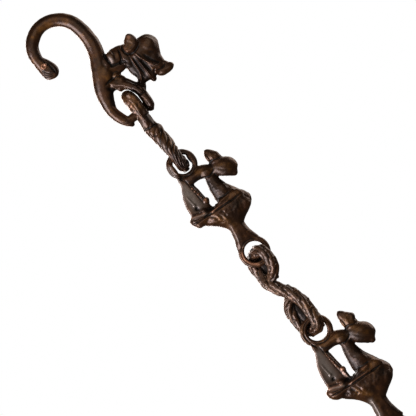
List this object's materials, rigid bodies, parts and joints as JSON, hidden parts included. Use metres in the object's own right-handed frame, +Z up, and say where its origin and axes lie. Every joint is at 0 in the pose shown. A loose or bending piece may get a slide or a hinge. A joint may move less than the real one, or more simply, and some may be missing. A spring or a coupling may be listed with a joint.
{
  "type": "hanging chain",
  "caption": "Cast bronze figural hanging chain: serpent-headed hook with a beast, twisted rope links and seated-figure links, ending in an eye to hang a lamp from",
  "frame": {"origin": "the saddle, the highest point of the inner face of the crook, on which the chain hangs", "axes": "+Z up along the hanging chain, X across it in the plane of the hook with the beast on the +X side, -Y is the front"},
  "size_m": [0.0792, 0.0234, 0.3936],
  "materials": {
    "bronze": "old cast bronze, dark brown patina, edges rubbed to a coppery brown",
    "rubbed_bronze": "cast bronze rubbed bright coppery on raised spots"
  },
  "bodies": {
    "hook": {"hook_beast_ears": "bronze", "hook_beast_head": "bronze", "hook_beast_jaw": "bronze", "hook_beast_lips": "bronze", "hook_beast_neck": "bronze", "hook_beast_strap": "bronze", "hook_crook": "bronze", "hook_eye_bar": "bronze", "hook_foreleg": "bronze", "hook_serpent_eyes": "rubbed_bronze", "hook_serpent_head": "bronze"},
    "upper_rope_link": {"upper_link_bottom_loop": "bronze", "upper_link_shank": "bronze", "upper_link_top_loop": "bronze"},
    "upper_figure_link": {"upper_figure_beads": "rubbed_bronze", "upper_figure_bridge": "bronze", "upper_figure_cap": "bronze", "upper_figure_eye": "bronze", "upper_figure_foot": "bronze", "upper_figure_head": "bronze", "upper_figure_legs": "bronze", "upper_figure_panel": "bronze", "upper_figure_ring": "bronze", "upper_figure_shank": "bronze", "upper_figure_torso": "bronze"},
    "lower_rope_link": {"lower_link_bottom_bend": "bronze", "lower_link_lower_end": "bronze", "lower_link_middle": "bronze", "lower_link_top_bend": "bronze", "lower_link_upper_end": "bronze"},
    "lower_figure_link": {"lower_figure_beads": "rubbed_bronze", "lower_figure_bridge": "bronze", "lower_figure_cap": "bronze", "lower_figure_eye": "bronze", "lower_figure_foot": "bronze", "lower_figure_head": "bronze", "lower_figure_legs": "bronze", "lower_figure_panel": "bronze", "lower_figure_ring": "bronze", "lower_figure_shank": "bronze", "lower_figure_torso": "bronze"}
  },
  "joints": [
    {"name": "hook_to_rope_link", "type": "hinge", "parent": "hook", "child": "upper_rope_link", "pos_m": [0.0147, 0, -0.0854], "axis": [1, 0, 0], "range_deg": [-60, 60]},
    {"name": "rope_link_to_figure", "type": "hinge", "parent": "upper_rope_link", "child": "upper_figure_link", "pos_m": [0.0157, 0, -0.12375], "axis": [1, 0, 0], "range_deg": [-60, 60]},
    {"name": "figure_to_rope_link", "type": "hinge", "parent": "upper_figure_link", "child": "lower_rope_link", "pos_m": [0.0178, 0, -0.2117], "axis": [0, 1, 0], "range_deg": [-50, 50]},
    {"name": "rope_link_to_lower_figure", "type": "hinge", "parent": "lower_rope_link", "child": "lower_figure_link", "pos_m": [0.0183, 0, -0.282], "axis": [0, 1, 0], "range_deg": [-50, 50]}
  ]
}
